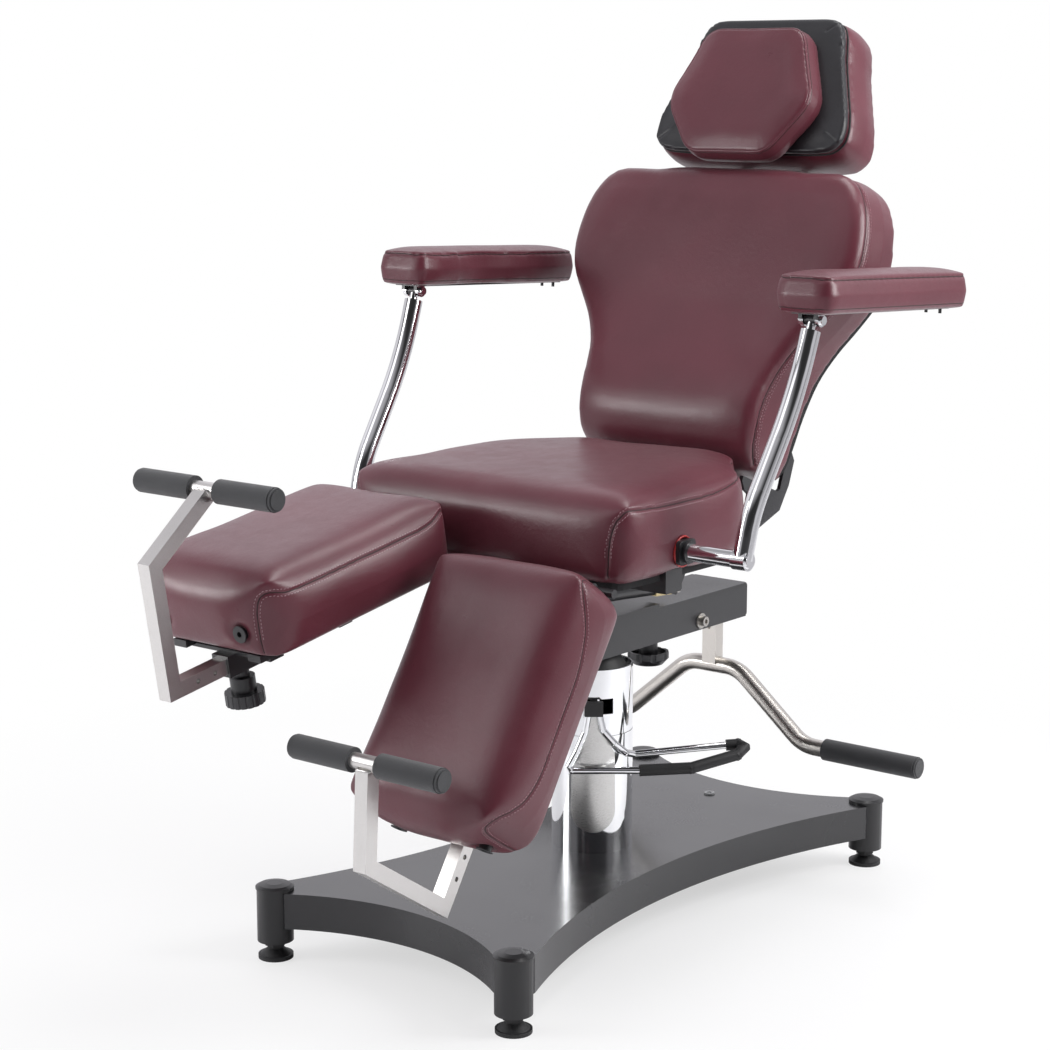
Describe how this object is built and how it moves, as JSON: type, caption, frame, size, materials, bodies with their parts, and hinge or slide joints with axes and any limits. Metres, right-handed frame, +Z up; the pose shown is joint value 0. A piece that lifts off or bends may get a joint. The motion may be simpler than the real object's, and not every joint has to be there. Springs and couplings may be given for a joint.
{
  "type": "client chair",
  "caption": "Upholstered client chair on a hydraulic pedestal: swivel and lift seat, reclining back, sliding headrest, tilting arm pads, and two leg rests that tilt on their own.",
  "frame": {"origin": "on the floor under the middle of the base plate", "axes": "+Z up, -Y is the way the sitter faces, +X is the sitter's left"},
  "size_m": [0.848, 1.367, 1.3763],
  "materials": {
    "base_black": "gloss",
    "post_black": "satin",
    "plug_grey": "satin",
    "pump_grey": "satin",
    "chrome": "polished",
    "boot_black": "matte",
    "tongue_steel": "brushed",
    "foot_black": "matte",
    "pedal_black": "matte",
    "frame_black": "satin",
    "bolt_steel": "satin",
    "knob_black": "satin",
    "bar_steel": "brushed",
    "disc_zinc": "brushed",
    "foam_black": "matte",
    "board_black": "painted",
    "vinyl_burgundy": "satin",
    "vinyl_black": "satin",
    "bushing_black": "satin",
    "arm_chrome": "polished",
    "leg_steel": "brushed",
    "foot_knob": "satin",
    "cap_black": "satin"
  },
  "bodies": {
    "base": {"base_plate": "base_black", "base_posts": "post_black", "post_caps": "post_black", "plate_plugs": "plug_grey", "pump_cylinder": "pump_grey", "pedestal_shroud": "chrome", "pedestal_sleeve": "chrome", "pedestal_boot": "boot_black", "guard_tongue": "tongue_steel"},
    "foot_fl": {"foot_fl": "foot_black"},
    "foot_fr": {"foot_fr": "foot_black"},
    "foot_rl": {"foot_rl": "foot_black"},
    "foot_rr": {"foot_rr": "foot_black"},
    "pedal": {"pump_pedal": "chrome", "pedal_clip": "pedal_black", "pedal_sleeve": "pedal_black"},
    "column": {"lift_column": "chrome"},
    "seat": {"main_channel": "frame_black", "channel_bolts": "bolt_steel", "seat_riser": "frame_black", "seat_frame": "frame_black", "seat_board": "board_black", "seat_cushion": "vinyl_burgundy", "arm_bushings": "bushing_black"},
    "swivel_lock": {"swivel_knob": "knob_black"},
    "rear_bar": {"rear_bar": "bar_steel", "rear_disc": "disc_zinc", "rear_grips": "foam_black"},
    "arm_l": {"arm_post_l": "arm_chrome"},
    "arm_r": {"arm_post_r": "arm_chrome"},
    "pad_l": {"arm_fork_l": "arm_chrome", "arm_pad_l": "vinyl_burgundy"},
    "pad_r": {"arm_fork_r": "arm_chrome", "arm_pad_r": "vinyl_burgundy"},
    "back": {"back_frame": "frame_black", "back_bolts": "bolt_steel", "back_board": "board_black", "back_cushion": "vinyl_burgundy"},
    "gas_rod": {"gas_rod": "chrome"},
    "gas_cylinder": {"gas_cylinder": "frame_black", "gas_clevis": "disc_zinc"},
    "head_rods": {"head_rods": "bar_steel"},
    "head": {"head_bracket": "bar_steel", "head_cushion": "vinyl_burgundy", "head_panel": "vinyl_black", "head_pillow": "vinyl_black"},
    "leg_l": {"leg_frame_l": "leg_steel", "leg_cushion_l": "vinyl_burgundy", "leg_caps_l": "cap_black"},
    "leg_r": {"leg_frame_r": "leg_steel", "leg_cushion_r": "vinyl_burgundy", "leg_caps_r": "cap_black"},
    "foot_bar_l": {"foot_bar_l": "leg_steel", "foot_grips_l": "foam_black"},
    "foot_bar_r": {"foot_bar_r": "leg_steel", "foot_grips_r": "foam_black"},
    "foot_knob_l": {"foot_knob_l": "foot_knob"},
    "foot_knob_r": {"foot_knob_r": "foot_knob"}
  },
  "joints": [
    {"name": "level_fl", "type": "hinge", "parent": "base", "child": "foot_fl", "pos_m": [0.2275, -0.4615, 0.04], "axis": [0, 0, 1], "range_deg": [-720, 720]},
    {"name": "level_fr", "type": "hinge", "parent": "base", "child": "foot_fr", "pos_m": [-0.2275, -0.4615, 0.04], "axis": [0, 0, 1], "range_deg": [-720, 720]},
    {"name": "level_rl", "type": "hinge", "parent": "base", "child": "foot_rl", "pos_m": [0.2275, 0.4615, 0.04], "axis": [0, 0, 1], "range_deg": [-720, 720]},
    {"name": "level_rr", "type": "hinge", "parent": "base", "child": "foot_rr", "pos_m": [-0.2275, 0.4615, 0.04], "axis": [0, 0, 1], "range_deg": [-720, 720]},
    {"name": "pump_stroke", "type": "hinge", "parent": "base", "child": "pedal", "pos_m": [0.02889, -0.0238, 0.255], "axis": [0.628, -0.7782, 0], "range_deg": [-12, 0]},
    {"name": "lift", "type": "slide", "parent": "base", "child": "column", "axis": [0, 0, 1], "range_m": [0, 0.16]},
    {"name": "swivel", "type": "hinge", "parent": "column", "child": "seat", "pos_m": [0, 0.012, 0.44], "axis": [0, 0, 1], "continuous": true},
    {"name": "swivel_lock_turn", "type": "hinge", "parent": "seat", "child": "swivel_lock", "pos_m": [0, 0.158, 0.38], "axis": [0, 0, 1], "range_deg": [-90, 540]},
    {"name": "rear_bar_tilt", "type": "hinge", "parent": "seat", "child": "rear_bar", "pos_m": [0, 0.225, 0.429], "axis": [1, 0, 0], "range_deg": [-7, 7]},
    {"name": "arm_swing_l", "type": "hinge", "parent": "seat", "child": "arm_l", "pos_m": [0.3, -0.124, 0.622], "axis": [1, 0, 0], "range_deg": [-50, 50]},
    {"name": "arm_swing_r", "type": "hinge", "parent": "seat", "child": "arm_r", "pos_m": [-0.3, -0.124, 0.622], "axis": [1, 0, 0], "range_deg": [-50, 50]},
    {"name": "pad_tilt_l", "type": "hinge", "parent": "arm_l", "child": "pad_l", "pos_m": [0.375, 0.027, 0.946], "axis": [1, 0, 0], "range_deg": [-30, 30]},
    {"name": "pad_tilt_r", "type": "hinge", "parent": "arm_r", "child": "pad_r", "pos_m": [-0.375, 0.027, 0.946], "axis": [1, 0, 0], "range_deg": [-30, 30]},
    {"name": "back_recline", "type": "hinge", "parent": "seat", "child": "back", "pos_m": [0, 0.205, 0.6], "axis": [1, 0, 0], "range_deg": [-50, 3]},
    {"name": "gas_swing", "type": "hinge", "parent": "seat", "child": "gas_rod", "pos_m": [0.033, -0.18495, 0.52268], "axis": [1, 0, 0], "range_deg": [-3, 15]},
    {"name": "gas_stroke", "type": "slide", "parent": "gas_rod", "child": "gas_cylinder", "axis": [0, 0.9969, -0.0785], "range_m": [-0.066, 0.0045]},
    {"name": "head_height", "type": "slide", "parent": "back", "child": "head_rods", "axis": [0, 0.3567, 0.9342], "range_m": [0, 0.1]},
    {"name": "head_tilt", "type": "hinge", "parent": "head_rods", "child": "head", "pos_m": [0, 0.5216, 1.1384], "axis": [1, 0, 0], "range_deg": [-30, 0]},
    {"name": "leg_tilt_l", "type": "hinge", "parent": "seat", "child": "leg_l", "pos_m": [0.138, -0.279, 0.585], "axis": [1, 0, 0], "range_deg": [-57, 15]},
    {"name": "leg_tilt_r", "type": "hinge", "parent": "seat", "child": "leg_r", "pos_m": [-0.138, -0.279, 0.585], "axis": [1, 0, 0], "range_deg": [-9.6, 62.4]},
    {"name": "foot_slide_l", "type": "slide", "parent": "leg_l", "child": "foot_bar_l", "axis": [0, -0.5446, -0.8387], "range_m": [-0.06, 0.09]},
    {"name": "foot_slide_r", "type": "slide", "parent": "leg_r", "child": "foot_bar_r", "axis": [0, -0.986, -0.1668], "range_m": [-0.06, 0.09]},
    {"name": "foot_lock_l", "type": "hinge", "parent": "leg_l", "child": "foot_knob_l", "pos_m": [0.138, -0.40434, 0.2598], "axis": [0, -0.8387, 0.5446], "range_deg": [-90, 540]},
    {"name": "foot_lock_r", "type": "hinge", "parent": "leg_r", "child": "foot_knob_r", "pos_m": [-0.138, -0.60322, 0.45714], "axis": [0, -0.1668, 0.986], "range_deg": [-90, 540]}
  ],
  "couplings": [
    {"joint": "gas_swing", "follows": "back_recline", "ratio": -0.274},
    {"joint": "gas_stroke", "follows": "back_recline", "m_per_rad": 0.0733}
  ]
}
